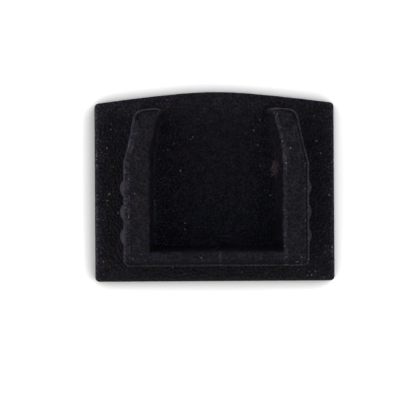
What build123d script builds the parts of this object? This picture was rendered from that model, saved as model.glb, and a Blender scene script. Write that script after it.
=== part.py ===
from build123d import *
from math import asin, degrees, radians, tan
import os

os.makedirs("parts", exist_ok=True)

# End cap for an extruded profile: a crowned cover plate with a U-shaped tongue that presses into the
# profile's channel. Millimetres. X runs across the profile, Y from its flat back to its crown, and Z from
# the cap's outer face to the tip of the tongue. The outer face lies on Z = 0.

# Cover plate
plate_width = 16.0
shoulder_height = 11.89  # flat bottom edge to the two corners under the crown
crown_rise = 0.76  # middle of the crown above those corners
crown_radius = 25.0  # rounder middle of the crown
crown_middle = 4.4  # width of that middle, before the flatter flanks
plate_thickness = 1.2
plate_corner = 0.3  # corners, seen from above
outer_edge_round = 0.25  # rim of the face that shows on the finished profile
seat_edge_round = 0.25  # rim of the face that meets the profile

# Tongue, at its root on the plate
tongue_width = 12.23
tongue_height = 6.0
web_inset = 1.06  # plate's bottom edge to the web
arm_end_inset = 0.87  # crown to the ends of the arms
web_root = 1.31  # thickness of the web
arm_root = 2.065  # thickness of each arm
arm_straight = 6.65  # outer side of the web to where the arms turn inwards
arm_turn_radius = 1.5  # round of that turn
arm_lean = 16.0  # degrees, just past it
arm_hollow_radius = 22.0  # the leaning side then comes back towards upright
pocket_curve_radius = 9.0  # inner sides of the arms, past their straight part
outer_draft = 0.6  # degrees
pocket_draft = 2.75  # degrees
web_corner = 0.35  # outer corners between web and arms
arm_outer_corner = 0.65  # outer corner at each arm's end
arm_inner_corner = 0.3  # inner corner at each arm's end
tip_round = 0.26  # rim of the tip, which leads the tongue into the profile

# Crush ribs on the straight outer sides of the arms
rib_count = 3
rib_first = 1.98  # outer side of the web to the first rib
rib_pitch = 1.6
rib_proud = 0.22
rib_width = 1.1  # where a rib leaves the arm
rib_clear = 0.5  # tip of the tongue to the end of a rib
rib_lead = 0.9  # a rib's end slopes into the arm over this length

# Round sink in the tip of each arm
sink_apart = 10.14  # one arm's to the other's
sink_up = 9.75  # outer side of the web to the sinks
sink_width = 0.34
sink_depth = 0.08

plate_height = shoulder_height + crown_rise
plate_bottom = -plate_height / 2
shoulder = plate_bottom + shoulder_height
crown_top = plate_height / 2
seat = plate_thickness
tip = seat + tongue_height
web_side = plate_bottom + web_inset
rib_foot = plate_thickness / 2  # let into the plate
arm_turn = web_side + arm_straight


def plate_outline():
    """Flat sides and bottom under a crown of three tangent arcs."""
    half_middle = crown_middle / 2
    drop = crown_radius - (crown_radius**2 - half_middle**2) ** 0.5
    with BuildSketch() as outline:
        with BuildLine():
            middle = RadiusArc((0, crown_top), (half_middle, crown_top - drop), crown_radius)
            TangentArc(middle @ 1, (plate_width / 2, shoulder), tangent=middle % 1)
            Polyline((plate_width / 2, shoulder), (plate_width / 2, plate_bottom), (0, plate_bottom))
            mirror(about=Plane.YZ)
        make_face()
    return outline.sketch


def tongue_plan(level):
    """The U of the tongue at one level: draft thins it outside and widens its pocket."""
    shrink = (level - seat) * tan(radians(outer_draft))
    growth = (level - seat) * tan(radians(pocket_draft))
    half_width = tongue_width / 2 - shrink
    pocket_half = tongue_width / 2 - arm_root + growth
    pocket_floor = web_side + web_root - growth
    reach = crown_top - arm_turn
    with BuildSketch(Plane.XY.offset(level)) as plan:
        with BuildLine():
            side = Polyline((0, web_side + shrink), (half_width, web_side + shrink), (half_width, arm_turn))
            turn = JernArc(side @ 1, (0, 1), arm_turn_radius, arm_lean)
            lean = JernArc(turn @ 1, turn % 1, arm_hollow_radius, -degrees(reach / arm_hollow_radius))
            Line(lean @ 1, (0, (lean @ 1).Y))
            mirror(about=Plane.YZ)
        make_face()
        fillet(plan.vertices().group_by(Axis.Y)[0], web_corner)
        offset(plate_outline(), amount=-(arm_end_inset + shrink), mode=Mode.INTERSECT)
        with BuildLine():
            floor = Polyline((0, pocket_floor), (pocket_half, pocket_floor), (pocket_half, arm_turn))
            bend = degrees(asin(reach / pocket_curve_radius))
            curve = JernArc(floor @ 1, (0, 1), pocket_curve_radius, bend)
            Line(curve @ 1, (0, (curve @ 1).Y))
            mirror(about=Plane.YZ)
        make_face(mode=Mode.SUBTRACT)
        fillet(plan.vertices().group_by(Axis.Y)[-2], arm_outer_corner)
        fillet(plan.vertices().group_by(Axis.Y)[-1], arm_inner_corner)
    return plan.sketch


# A crush rib is a pin let into the arm, so that only a sliver of it stands proud. It is drawn about its
# own axis, with the foot of the rib's crest at X = rib_proud and its end sloping into the arm.
rib_radius = (rib_width**2 / 4 + rib_proud**2) / (2 * rib_proud)
rib_end = tongue_height - rib_clear
with BuildPart() as rib_pin:
    with BuildSketch(Plane.XZ):
        with BuildLine():
            Polyline(
                (rib_proud - rib_radius, -rib_foot),
                (rib_proud, -rib_foot),
                (rib_proud, rib_end - rib_lead),
                (0, rib_end),
                (rib_proud - rib_radius, rib_end),
                close=True,
            )
        make_face()
    revolve(axis=Axis((rib_proud - rib_radius, 0, 0), (0, 0, 1)))

sink_radius = (sink_width**2 / 4 + sink_depth**2) / (2 * sink_depth)

with BuildPart() as end_cap:
    add(plate_outline())
    extrude(amount=plate_thickness)
    fillet(end_cap.edges().filter_by(Axis.Z), plate_corner)
    fillet(end_cap.faces().sort_by(Axis.Z)[0].edges(), outer_edge_round)
    fillet(end_cap.faces().sort_by(Axis.Z)[-1].edges(), seat_edge_round)
    add(tongue_plan(seat))
    add(tongue_plan(tip))
    loft(ruled=True)
    fillet(end_cap.faces().sort_by(Axis.Z)[-1].edges(), tip_round)
    for side, turned in ((1, 0), (-1, 180)):
        for rib in range(rib_count):
            root = (side * tongue_width / 2, web_side + rib_first + rib * rib_pitch, seat)
            with Locations(Location(root, (0, -side * outer_draft, turned))):
                add(rib_pin.part)
    with Locations((0, web_side + sink_up, tip + sink_radius - sink_depth)):
        with GridLocations(sink_apart, 0, 2, 1):
            Sphere(sink_radius, mode=Mode.SUBTRACT)

end_cap.part.label = "end_cap"
export_step(end_cap.part, "parts/end_cap.step")
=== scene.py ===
import math

import bmesh
import bpy
from mathutils import Matrix, Vector, noise


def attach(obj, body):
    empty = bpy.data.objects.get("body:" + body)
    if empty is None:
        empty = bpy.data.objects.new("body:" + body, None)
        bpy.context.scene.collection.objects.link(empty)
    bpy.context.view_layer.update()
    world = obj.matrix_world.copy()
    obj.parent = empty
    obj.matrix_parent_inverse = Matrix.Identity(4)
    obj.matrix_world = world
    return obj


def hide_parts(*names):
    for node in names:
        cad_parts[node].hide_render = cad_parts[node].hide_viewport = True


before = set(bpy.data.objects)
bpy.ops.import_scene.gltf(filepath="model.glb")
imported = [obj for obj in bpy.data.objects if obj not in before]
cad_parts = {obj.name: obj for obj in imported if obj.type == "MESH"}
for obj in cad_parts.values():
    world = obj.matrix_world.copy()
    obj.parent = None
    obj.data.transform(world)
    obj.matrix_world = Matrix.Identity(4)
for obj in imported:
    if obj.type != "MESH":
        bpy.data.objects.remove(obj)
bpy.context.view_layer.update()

print("frame loaded:", sorted(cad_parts))

scene = bpy.context.scene
mm = 0.001  # the scene is in metres, and the settings below are in millimetres
joinGap = 0.0005  # points of the moulding that are nearer than this are one
noiseSpan = (0.3, 0.7)  # where most values of a noise texture lie


# the moulding in millimetres, with its loose triangles joined
def copyCap():
    bm = bmesh.new()
    bm.from_mesh(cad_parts["end_cap"].data)
    bmesh.ops.scale(bm, vec=(1 / mm, 1 / mm, 1 / mm), verts=bm.verts[:])
    bmesh.ops.remove_doubles(bm, verts=bm.verts[:], dist=joinGap)
    return bm


def keepMesh(name, bm, material, smoothAngle=35.0):
    bmesh.ops.scale(bm, vec=(mm, mm, mm), verts=bm.verts[:])
    mesh = bpy.data.meshes.new(name)
    bm.to_mesh(mesh)
    bm.free()
    if "custom_normal" in mesh.attributes:
        mesh.attributes.remove(mesh.attributes["custom_normal"])  # they belong to the loose triangles
    mesh.materials.clear()
    mesh.materials.append(material)
    mesh.shade_smooth()
    mesh.set_sharp_from_angle(angle=math.radians(smoothAngle))
    piece = bpy.data.objects.new(name, mesh)
    scene.collection.objects.link(piece)
    return piece


# short ways to add nodes to an emptied tree: each value is a number, a colour or another node's socket
def nodeTools(tree):
    tree.nodes.clear()

    def put(socket, value):
        if isinstance(value, bpy.types.NodeSocket):
            tree.links.new(value, socket)
        elif socket.type == "RGBA":
            socket.default_value = (*value, 1.0)
        else:
            socket.default_value = value

    def make(kind, inputs=None, **settings):
        node = tree.nodes.new("ShaderNode" + kind)
        for key, setting in settings.items():
            setattr(node, key, setting)
        for key, value in (inputs or {}).items():
            put(node.inputs[key], value)
        return node

    def work(kind, *values):
        return make("Math", dict(enumerate(values)), operation=kind).outputs["Value"]

    def product(*values):
        total = values[0]
        for value in values[1:]:
            total = work("MULTIPLY", total, value)
        return total

    # low up to start, high from end on, and a ramp between them
    def spread(value, low, high, start=0.0, end=1.0, **settings):
        limits = {"From Min": start, "From Max": end, "To Min": low, "To Max": high}
        return make("MapRange", {"Value": value, **limits}, **settings).outputs["Result"]

    return make, work, product, spread


def newMaterial(name):
    material = bpy.data.materials.new(name)
    material.use_nodes = True
    return material, nodeTools(material.node_tree)


# Black plastic, on the piece's own coordinates: a fine spark-eroded grain with pale specks, and painted
# glints, painted light and painted shade in its colour.
plastic = dict(
    colour=(0.0070, 0.0060, 0.0088),
    hueShare=0.45,  # how far the colour wanders
    ior=1.5,
    specular=0.095,
    roughness=(0.42, 0.62),
    steepRough=0.68,  # on the right ribs and the ends of the arms
    grainSize=0.17,
    grainDepth=0.14,
    grainTone=(0.25, 1.75),
    grainEdge=(0.36, 0.64),
    # glints are painted highlights: pale dots added to the colour, more where it sparkles
    glintSize=0.12,
    glintTone=(1.8, 4.0),  # in plain places, and where it sparkles
    glintEdge=(0.50, 0.72),
    waveSize=0.6,
    waveDepth=0.06,
    waveTone=(0.65, 1.35),
    wallTurn=(-1.0, -3.2),  # how far a wall of the pocket faces inwards
    # painted light: the pocket's walls are made paler
    wallPaintedLight=1.8,
    wallStretch=12.0,
    patchSize=0.35,
    patchTone=(0.3, 1.5),
    patchEdge=(0.35, 0.65),
    speckSize=0.14,
    speckShare=(0.004, 0.060),  # in plain places, and where it sparkles
    speckWidth=(0.20, 0.50),
    speckSoft=0.12,
    speckRagged=0.07,
    raggedSize=0.06,
    speckTone=(4.0, 28.0),
    speckColour=(0.0056, 0.0052, 0.0060),
    # painted shade: where glints are painted thicker, the grain around them is made darker
    sparkleTone=0.68,  # the grain is darker where it sparkles
    # how much paler the specks about a few corners are, partly painted glints
    cornerTone=10.0,
)

# Painted light and shade on the moulding: places made paler or darker to stand in for how light falls, and a
# paler knit line. A zone's tone multiplies the plastic's, and its specks add to their share. Ranges are along
# the
# capDistances: two numbers are a ramp from none to full, and three are a band with its soft edge. The words
# after on name the places and masks that a place or zone keeps to.
marks = dict(
    tongueHalf=6.05,  # the outer edge of the tongue's tip
    leanFrom=1.5,
    lean=0.235,
    armEnd=5.10,
    armCorner=1.1,
    webSide=-5.20,
    webCorner=0.6,
    pocketHalf=4.34,  # the pocket's edge at the tip
    pocketTurn=1.385,
    pocketCurve=9.0,
    footHalf=4.05,  # the pocket's edge on the plate
    places=dict(
        plate=dict(z=(0.5, 1.35, 0.1)),
        tip=dict(z=(6.85, 6.90)),
        arm=dict(on="tip", y=(-4.85, 4.3, 0.15)),
        leftRim=dict(on="left arm", toSide=(0.5, 0.3)),
        inside=dict(aside=(5.1, 4.9), y=(-4.8, -4.6), z=(6.5, 6.0)),
        foot=dict(fromFoot=(-0.14, 0.20, 0.06), y=(4.7, 4.2), z=(2.8, 2.2)),
    ),
    # how much of the gutter's painted shade is kept along the left rim
    gutterLeft=0.1,  # what is left of the gutter along the left rim
    zones=dict(
        # painted highlights: pale strips along the rounded rims of the arms, the pocket and the plate's edge,
        # with painted glints as specks
        leftStrip=dict(tone=2.15, specks=0.336, on="left arm patchy", inFrom=(0.06, 0.38, 0.03)),
        rightStrip=dict(tone=1.5, specks=0.105, on="right arm", inFrom=(0.17, 0.30, 0.03)),
        pocketStrip=dict(tone=2.4, specks=0.21, on="right tip patchy", outFrom=(0.07, 0.30, 0.03)),
        plateStrip=dict(tone=1.8, specks=0.105, on="plate patchy", aside=(7.74, 8.2, 0.08)),
        # painted shade: the dark gutter inside the fin, and the darker rim and gutter of the web
        gutter=dict(tone=0.25, on="tip offLeftRim", inFrom=(0.08, 0.18, 0.02)),
        webGutter=dict(tone=0.52, on="tip", toWeb=(0.10, 0.36, 0.06)),
        webRim=dict(tone=0.50, on="tip", toWeb=(0.12, 0.05)),
        knit=dict(tone=1.9, on="tip", x=(0.15, 0.32, 0.04), y=(-3.8, -3.9)),
        # painted light and shade on the plate: darker beside the tongue, at the near side and along its near
        # edge; paler along its rounded side edges, more on the left, and towards the far side
        margin=dict(tone=0.80, on="plate", aside=(6.0, 7.3, 0.25), y=(-5.2, 4.8, 0.4)),
        brim=dict(tone=1.40, on="plate", aside=(7.2, 7.9)),
        leftBrim=dict(tone=1.22, on="left plate", aside=(7.5, 7.8)),
        crown=dict(tone=1.18, on="plate", y=(4.7, 5.5)),
        crownLeft=dict(tone=1.35, on="plate", x=(-2.4, -3.2), y=(4.3, 5.2)),
        crownRight=dict(tone=1.20, on="plate", x=(0.2, 3.4, 0.4), y=(4.7, 5.5)),
        sill=dict(tone=0.84, on="plate", y=(-5.9, -5.2, 0.25)),
        lip=dict(tone=0.55, on="plate", y=(-6.1, -6.25)),
        # painted light in the pocket: paler in its middle and on its left, and a painted reflection along the
        # foot of each side wall
        deep=dict(tone=1.36, on="inside", x=(3.4, 1.8), y=(3.0, -2.0)),
        leftDeep=dict(tone=1.40, on="inside", x=(-3.0, -4.0), y=(2.5, -1.0)),
        leftFoot=dict(tone=1.9, on="left inside foot"),
        rightFoot=dict(tone=1.35, on="right inside foot"),
        # painted shade on the pocket's walls: darker on the left wall, towards the top, and on the web's wall
        leftWall=dict(tone=0.75, on="left inside wall"),
        wallTop=dict(tone=0.50, on="wall", z=(3.5, 6.5)),
        webWall=dict(tone=0.85, on="wall", y=(-3.4, -3.8)),
        # painted shade on the ends of the arms and the right ribs, where they are also rougher
        armEnds=dict(tone=0.40, aside=(3.2, 4.5, 0.1), y=(4.6, 4.7), z=(1.4, 6.9, 0.03)),
        rightRibs=dict(tone=0.38, x=(6.02, 6.08), z=(1.4, 6.8, 0.03)),
    ),
    # painted sparkle: more painted glints and more specks on the plate's margins, the pocket's sides and the
    # near side
    sparkles=dict(
        pocketSides=dict(share=1.0, on="inside", aside=(2.4, 4.4, 0.7)),
        leftMargin=dict(share=1.0, on="plate", x=(-6.1, -6.5)),
        rightMargin=dict(share=0.7, on="plate", x=(5.9, 7.2)),
        sill=dict(share=0.35, on="plate", y=(-5.2, -5.4)),
    ),
    corners=(
        dict(at=(6.35, -5.85), reach=1.2, specks=0.5),
        dict(at=(5.5, -5.2), reach=0.6, specks=0.7),
        dict(at=(-5.75, -4.65), reach=0.7, specks=0.5),
        dict(at=(7.8, -4.2), reach=0.5, specks=0.8),
    ),
    # a tint multiplies the colour: less red towards the right, and bluer deep in the pocket as painted shade
    tints=dict(
        right=dict(colour=(0.93, 1.0, 0.96), x=(-4.0, 6.0)),
        deep=dict(colour=(0.88, 1.0, 1.07), on="inside", y=(2.0, -2.0)),
    ),
    pinkPatch=dict(
        at=(3.98, 1.25, 2.6),
        reach=(0.26, 0.66, 2.6),
        ragged=0.7,
        edge=(0.3, 1.2),
        strength=0.9,
        colour=(0.080, 0.056, 0.068),
    ),
)


# from the moulding's middle, in from the outer edge of the tongue's tip, and out from the pocket's edges
def capDistances(where, tools):
    make, work, product = tools[:3]
    split = make("SeparateXYZ", {"Vector": where})
    x, y, z = [split.outputs[axis] for axis in "XYZ"]
    aside = work("ABSOLUTE", x)
    leaning = work("MAXIMUM", work("SUBTRACT", y, marks["leanFrom"]), 0.0)
    half = work("SUBTRACT", marks["tongueHalf"], product(leaning, marks["lean"]))
    toSide = work("SUBTRACT", half, aside)
    toEnd = work("SUBTRACT", marks["armEnd"], y)
    toWeb = work("SUBTRACT", y, marks["webSide"])
    toArm = work("SMOOTH_MIN", toSide, toEnd, marks["armCorner"])
    inFrom = work("SMOOTH_MIN", toArm, toWeb, marks["webCorner"])
    past = work("MAXIMUM", work("SUBTRACT", y, marks["pocketTurn"]), 0.0)
    unbent = work("ADD", aside, product(past, past, 0.5 / marks["pocketCurve"]))
    outFrom = work("SUBTRACT", unbent, marks["pocketHalf"])
    fromFoot = work("SUBTRACT", unbent, marks["footHalf"])
    edges = dict(toSide=toSide, toWeb=toWeb, inFrom=inFrom, outFrom=outFrom, fromFoot=fromFoot)
    return dict(x=x, y=y, z=z, aside=aside, **edges)


def blackPlastic(name, **changes):
    look = dict(plastic, **changes)
    material, tools = newMaterial(name)
    make, work, product, spread = tools
    place = make("TexCoord")
    inMm = make("Mapping", {"Vector": place.outputs["Object"], "Scale": (1 / mm, 1 / mm, 1 / mm)})
    where = inMm.outputs["Vector"]
    along = capDistances(where, tools)

    def cloud(size, at, detail=2.0):
        return make("TexNoise", {"Scale": 1.0 / size, "Detail": detail, "Vector": at}).outputs

    # 6 and 7 are a Mix node's two colours
    def mix(factor, first, second, kind="MIX"):
        return make("Mix", {0: factor, 6: first, 7: second}, data_type="RGBA", blend_type=kind).outputs[2]

    def paint(shade, tint):
        return mix(1.0, shade, tint, "MULTIPLY")

    def bump(height, depth, **under):
        inputs = {"Strength": 1.0, "Distance": depth * mm, "Height": height, **under}
        return make("Bump", inputs).outputs["Normal"]

    # the squared distance from a place, 1 at its reach
    def farFrom(centre, reach):
        total = 0.0
        for axis, middle, size in zip("xyz", centre, reach):
            off = work("DIVIDE", work("SUBTRACT", along[axis], middle), size)
            total = work("ADD", total, product(off, off))
        return total

    def ramp(value, start, end):
        return spread(value, 0.0, 1.0, start, end)

    def band(value, start, end, soft):
        return product(ramp(value, start - soft, start + soft), ramp(value, end + soft, end - soft))

    def within(spot):
        parts = [masks[word] for word in spot.get("on", "").split()]
        for key, value in along.items():
            if key in spot:
                shape = band if len(spot[key]) == 3 else ramp
                parts.append(shape(value, *spot[key]))
        return product(*parts)

    # the pocket's walls face inwards: they are made paler as painted light, and their grain is drawn out
    # along the core's path
    facing = make("NewGeometry")
    flat = make("VectorMath", {0: facing.outputs["Normal"], 1: (1.0, 1.0, 0.0)}, operation="MULTIPLY")
    inwards = make("VectorMath", {0: flat.outputs["Vector"], 1: where}, operation="DOT_PRODUCT")
    wall = ramp(inwards.outputs["Value"], *look["wallTurn"])
    upright = make("VectorMath", {0: where, 1: (1.0, 1.0, 1.0 / look["wallStretch"])}, operation="MULTIPLY")
    grain = cloud(look["grainSize"], where)["Fac"]
    drawn = cloud(look["grainSize"], upright.outputs["Vector"])["Fac"]
    mottle = work("ADD", grain, product(wall, work("SUBTRACT", drawn, grain)))
    waves = cloud(look["waveSize"], where)

    onRight = work("GREATER_THAN", along["x"], 0.0)
    patchy = spread(cloud(look["patchSize"], where)["Fac"], *look["patchTone"], *look["patchEdge"])
    masks = dict(right=onRight, left=work("SUBTRACT", 1.0, onRight), wall=wall, patchy=patchy)
    for key, spot in marks["places"].items():
        masks[key] = within(spot)
    masks["offLeftRim"] = spread(masks["leftRim"], 1.0, marks["gutterLeft"])
    for key, zone in marks["zones"].items():
        masks[key] = within(zone)
    # painted sparkle: where glints are painted thicker
    sparkle = 0.0
    for spot in marks["sparkles"].values():
        sparkle = work("MAXIMUM", sparkle, product(within(spot), spot["share"]))
    # more pale specks about a few corners, partly painted glints, as on the fin near the bottom right
    cornerSpecks = 0.0
    for corner in marks["corners"]:
        off = work("SQRT", farFrom(corner["at"], [corner["reach"]] * 2))
        cornerSpecks = work("ADD", cornerSpecks, spread(off, corner["specks"], 0.0))
    cornerSpecks = product(cornerSpecks, work("MAXIMUM", masks["plate"], masks["tip"]))

    # pale specks: a share of small ragged cells, each with its own width and tone; where light is painted
    # they are more common and stand in for painted glints
    ragged = cloud(look["raggedSize"], where, 1.0)["Color"]
    shove = make("VectorMath", {0: ragged, 1: [look["speckRagged"]] * 3, 2: where}, operation="MULTIPLY_ADD")
    cells = make("TexVoronoi", {"Scale": 1.0 / look["speckSize"], "Vector": shove.outputs["Vector"]})
    chance = make("SeparateColor", {"Color": cells.outputs["Color"]})
    red, green, blue = [chance.outputs[part] for part in ("Red", "Green", "Blue")]
    share = work("ADD", spread(sparkle, *look["speckShare"]), cornerSpecks)
    for key, zone in marks["zones"].items():
        if "specks" in zone:
            share = work("ADD", share, product(masks[key], zone["specks"]))
    inner = work("SUBTRACT", spread(blue, *look["speckWidth"]), cells.outputs["Distance"])
    speck = product(work("LESS_THAN", red, share), ramp(inner, 0.0, look["speckSoft"]))
    lift = spread(product(green, green, green), *look["speckTone"])
    lift = work("ADD", lift, product(cornerSpecks, look["cornerTone"], green))

    # painted glints: pale dots added to the colour
    glint = ramp(cloud(look["glintSize"], where, 1.0)["Fac"], *look["glintEdge"])
    tone = spread(mottle, *look["grainTone"], *look["grainEdge"])
    tone = product(tone, spread(sparkle, 1.0, look["sparkleTone"]))
    tone = work("ADD", tone, product(glint, glint, spread(sparkle, *look["glintTone"])))
    tone = product(tone, spread(waves["Fac"], *look["waveTone"], *noiseSpan))
    # painted light on the pocket's walls
    tone = product(tone, spread(wall, 1.0, look["wallPaintedLight"]))
    for key, zone in marks["zones"].items():
        tone = product(tone, spread(masks[key], 1.0, zone["tone"]))
    hue = mix(look["hueShare"], (0.5, 0.5, 0.5), waves["Color"])
    doubled = [2.0 * part for part in look["colour"]]  # hues lie about 0.5
    shade = paint(paint(doubled, hue), tone)
    # the tints, among them the painted shade deep in the pocket
    for tint in marks["tints"].values():
        shade = mix(within(tint), shade, paint(shade, tint["colour"]))
    shade = mix(speck, shade, paint(look["speckColour"], lift))

    # a paler, pinkish patch low on the pocket's right wall
    pinkPatch = marks["pinkPatch"]
    uneven = spread(mottle, pinkPatch["ragged"], -pinkPatch["ragged"], *noiseSpan)
    far = work("ADD", farFrom(pinkPatch["at"], pinkPatch["reach"]), uneven)
    shade = mix(spread(far, pinkPatch["strength"], 0.0, *pinkPatch["edge"]), shade, pinkPatch["colour"])

    rough = spread(grain, *look["roughness"], *noiseSpan)
    steep = work("MAXIMUM", masks["rightRibs"], masks["armEnds"])
    rough = work("ADD", rough, product(steep, work("SUBTRACT", look["steepRough"], rough)))
    swell = bump(waves["Fac"], look["waveDepth"])
    normal = bump(grain, look["grainDepth"], Normal=swell)
    gloss = {"IOR": look["ior"], "Specular IOR Level": look["specular"], "Roughness": rough}
    skin = make("BsdfPrincipled", {"Base Color": shade, "Normal": normal, **gloss})
    make("OutputMaterial", {"Surface": skin.outputs["BSDF"]})
    return material


plasticSkin = blackPlastic("blackPlastic")


def capBody():
    piece = keepMesh("capBody", copyCap(), plasticSkin)
    piece.modifiers.new("faceNormals", "WEIGHTED_NORMAL").keep_sharp = True
    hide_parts("end_cap")
    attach(piece, "root")
    return piece


body = capBody()
print("body made:", len(body.data.polygons), "faces")

# Flash: the thin fin that the mould leaves along the outer rim of the tongue's tip. Its profile goes from the
# foot of its outer side over the crest and down its inner side: how far inwards, and how high.
flash = dict(
    profile=(
        (0.0, 6.90),
        (-0.02, 7.09),
        (-0.015, 7.14),
        (0.015, 7.165),
        (0.06, 7.17),
        (0.10, 7.15),
        (0.115, 6.95),
    ),
    pocketSide=-0.45,  # walls that face inwards past these two belong to the pocket
    pocketWeb=0.5,
    shortest=0.05,  # edges of the run
    longest=0.11,
    closing=0.0001,
    order=Vector((1.0, 0.3, 0.1)),  # edges and faces are sorted along this
    sizes=(0.9, 0.35),  # slow and quick unevenness
    quickShare=0.5,
    sway=0.02,
    dip=0.03,
    tuck=0.065,  # inwards at the ends of the arms
    # painted highlight: the fin's colour is about three times paler than the moulding's
    finishAndHighlight=dict(colour=(0.0226, 0.0200, 0.0270), speckShare=(0.04, 0.04), grainTone=(0.8, 1.2)),
)
flashSkin = blackPlastic("flashPlastic", **flash["finishAndHighlight"])


# the tongue's outline at the foot of the fin, open across the mouth of the pocket
def rimRun():
    bm = copyCap()
    bm.normal_update()
    pocket = []
    for face in bm.faces:
        middle = face.calc_center_median()
        sideways = face.normal.x * math.copysign(1.0, middle.x)
        if sideways < flash["pocketSide"] or (face.normal.y > flash["pocketWeb"] and middle.y < 0):
            pocket.append(face)
    bmesh.ops.delete(bm, geom=pocket, context="FACES_ONLY")
    whole = bm.verts[:] + bm.edges[:] + bm.faces[:]
    level = dict(plane_co=(0, 0, flash["profile"][0][1]), plane_no=(0, 0, 1))
    bmesh.ops.bisect_plane(bm, geom=whole, clear_inner=True, clear_outer=True, **level)
    bmesh.ops.delete(bm, geom=[vert for vert in bm.verts if not vert.link_edges], context="VERTS")
    bmesh.ops.remove_doubles(bm, verts=bm.verts[:], dist=flash["shortest"])
    for edge in bm.edges[:]:
        cuts = int(edge.calc_length() / flash["longest"])
        if cuts:
            bmesh.ops.subdivide_edges(bm, edges=[edge], cuts=cuts)
    return bm


# extrudes the run once more, and keeps in home the foot that each new point stands on
def raiseRun(bm, run, home):
    made = bmesh.ops.extrude_edge_only(bm, edges=run)["geom"]
    fresh = {item for item in made if isinstance(item, bmesh.types.BMVert)}
    for vert in fresh:
        below = [edge.other_vert(vert) for edge in vert.link_edges if edge.other_vert(vert) not in fresh]
        home[vert] = home[below[0]]
    edges = [item for item in made if isinstance(item, bmesh.types.BMEdge)]
    return fresh, [edge for edge in edges if set(edge.verts) <= fresh]


def tipFlash():
    bm = rimRun()
    home = {vert: vert for vert in bm.verts}
    foot = {vert: vert.co.copy() for vert in bm.verts}
    fresh, run = raiseRun(bm, bm.edges[:], home)

    # stood upright for now, the first strip of faces shows which way is outwards
    bmesh.ops.translate(bm, vec=(0, 0, 0.1), verts=list(fresh))
    bmesh.ops.recalc_face_normals(bm, faces=bm.faces[:])
    leftmost = min(bm.faces, key=lambda face: face.calc_center_median().x)
    if leftmost.normal.x > 0:
        bmesh.ops.reverse_faces(bm, faces=bm.faces[:])
    bm.normal_update()
    outward = {home[vert]: vert.normal.copy() for vert in fresh}

    low = flash["profile"][0][1]
    high = max(level for inwards, level in flash["profile"])
    for inwards, level in flash["profile"][1:]:
        rise = (level - low) / (high - low)
        for vert in fresh:
            start = foot[home[vert]]
            away = outward[home[vert]]
            slow, quick = [noise.noise(start / size) for size in flash["sizes"]]
            quick *= flash["quickShare"]
            sway = flash["sway"] * (slow + quick) * rise
            tuck = flash["tuck"] * rise * max(away.y, 0.0)
            vert.co = start + away * (sway - inwards - tuck)
            vert.co.z = level - flash["dip"] * rise * abs(slow - quick)
        fresh, run = raiseRun(bm, run, home)
    for vert in fresh:
        vert.co = foot[home[vert]]

    bmesh.ops.remove_doubles(bm, verts=bm.verts[:], dist=flash["closing"])
    for items in (bm.edges, bm.faces):  # extruding leaves them in another order in each run
        items.sort(key=lambda item: sum(vert.co.dot(flash["order"]) for vert in item.verts))
    bmesh.ops.holes_fill(bm, edges=[edge for edge in bm.edges if edge.is_boundary], sides=0)
    bmesh.ops.recalc_face_normals(bm, faces=bm.faces[:])
    if bm.calc_volume(signed=True) < 0:
        bmesh.ops.reverse_faces(bm, faces=bm.faces[:])
    piece = keepMesh("tipFlash", bm, flashSkin)
    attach(piece, "root")
    return piece


fin = tipFlash()
print("flash made:", len(fin.data.polygons), "faces")

# Floor: white for the camera past the contact shadow, and a plain pale sheet for the light.
floorLook = dict(
    radius=400.0,
    segments=64,
    drop=0.01,
    tint=(1.0, 0.985, 0.92),
    tone=0.8,
    seen=1.85,
    mirrored=1.0,
    contact=1.3,  # how far the contact shadow reaches
    closed=0.4,
    deepest=0.4,
    lean=(0.5, 0.3, 1.0),
    samples=16,
)


def paleFloor():
    material, (make, work, product, spread) = newMaterial("paleFloor")
    path = make("LightPath")
    mirror = work("MAXIMUM", path.outputs["Is Glossy Ray"], path.outputs["Is Transmission Ray"])
    plain = spread(mirror, floorLook["tone"], floorLook["mirrored"])
    shade = spread(path.outputs["Is Camera Ray"], plain, floorLook["seen"])
    lean = make("CombineXYZ", dict(zip("XYZ", Vector(floorLook["lean"]).normalized())))
    # the contact shadow is painted into the floor's colour from ambient occlusion, leaned so it is deeper to
    # the left of the part and on its near side
    reach = {"Distance": floorLook["contact"] * mm, "Normal": lean.outputs["Vector"]}
    near = make("AmbientOcclusion", reach, samples=floorLook["samples"])
    contact = spread(near.outputs["AO"], floorLook["deepest"], 1.0, floorLook["closed"], 1.0)
    tint = make("VectorMath", {0: floorLook["tint"], "Scale": product(shade, contact)}, operation="SCALE")
    sheet = make("BsdfDiffuse", {"Color": tint.outputs["Vector"]})
    make("OutputMaterial", {"Surface": sheet.outputs["BSDF"]})
    bm = bmesh.new()
    bmesh.ops.create_circle(bm, cap_ends=True, segments=floorLook["segments"], radius=floorLook["radius"])
    bmesh.ops.translate(bm, vec=(0, 0, -floorLook["drop"]), verts=bm.verts[:])
    keepMesh("floor", bm, material)


paleFloor()
print("floor made")

# Soft light from the left, the right, the near side and above, with little from the far side.
# Each ring of the sky has its strength to the left, to the right, beyond and in front of the part.
studio = dict(
    above=1.0,
    upper=(1.55, 0.95, 0.12, 1.05),
    lower=(1.60, 0.90, 0.10, 1.10),
    aboveFade=(0.80, 0.97),
    lowerFade=(0.55, 0.25),
    cool=(0.90, 0.94, 1.18),
)


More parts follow.
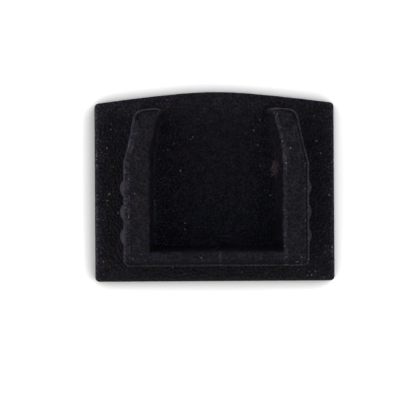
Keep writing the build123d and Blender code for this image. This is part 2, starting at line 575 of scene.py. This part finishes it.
def softStudio():
    world = bpy.data.worlds.new("softStudio")
    scene.world = world
    world.use_nodes = True
    make, work, product, spread = nodeTools(world.node_tree)
    place = make("TexCoord")
    split = make("SeparateXYZ", {"Vector": place.outputs["Generated"]})
    x, y, z = [split.outputs[axis] for axis in "XYZ"]

    def blend(factor, first, second):
        return make("Mix", {"Factor": factor, "A": first, "B": second}).outputs["Result"]

    def fade(value, start, end):
        return spread(value, 0.0, 1.0, start, end, interpolation_type="SMOOTHSTEP")

    across = product(x, x)
    level = work("MAXIMUM", work("ADD", across, product(y, y)), 0.0001)  # never divides by nothing
    aside = work("DIVIDE", across, level)
    toRight = work("GREATER_THAN", x, 0.0)
    toBack = work("GREATER_THAN", y, 0.0)

    def ring(left, right, back, near):
        return blend(aside, blend(toBack, near, back), blend(toRight, left, right))

    overhead = fade(z, *studio["aboveFade"])
    rings = blend(fade(z, *studio["lowerFade"]), ring(*studio["upper"]), ring(*studio["lower"]))
    light = blend(overhead, rings, studio["above"])
    tint = make("Mix", {"Factor": overhead, 6: (1.0, 1.0, 1.0), 7: studio["cool"]}, data_type="RGBA")
    path = make("LightPath")
    strength = blend(path.outputs["Is Camera Ray"], light, 1.0)  # the camera sees plain white
    glow = make("Background", {"Color": tint.outputs[2], "Strength": strength})
    make("OutputWorld", {"Surface": glow.outputs["Background"]})


softStudio()
print("studio made")

# Camera: nearly straight above, a little towards the left.
shot = dict(
    distance=300.0,
    aim=(-0.427, -1.432),
    level=0.6,
    tilt=1.0,
    roll=0.35,
    width=27.845,
    sensor=36.0,
    clip=(0.01, 10.0),  # metres
)


def setCamera():
    data = bpy.data.cameras.new("shotCamera")
    data.sensor_width = shot["sensor"]
    data.lens = shot["distance"] * shot["sensor"] / shot["width"]
    data.clip_start, data.clip_end = shot["clip"]
    camera = bpy.data.objects.new("shotCamera", data)
    scene.collection.objects.link(camera)
    tilt = Matrix.Rotation(math.radians(-shot["tilt"]), 4, "Y")
    roll = Matrix.Rotation(math.radians(-shot["roll"]), 4, "Z")
    turn = tilt @ roll
    stand = turn @ Vector((*shot["aim"], shot["distance"]))
    stand += Vector((0, 0, shot["level"]))
    camera.matrix_world = Matrix.Translation(stand * mm) @ turn
    scene.camera = camera


setCamera()
print("camera set")

scene.view_settings.view_transform = "Standard"
bpy.context.view_layer.update()
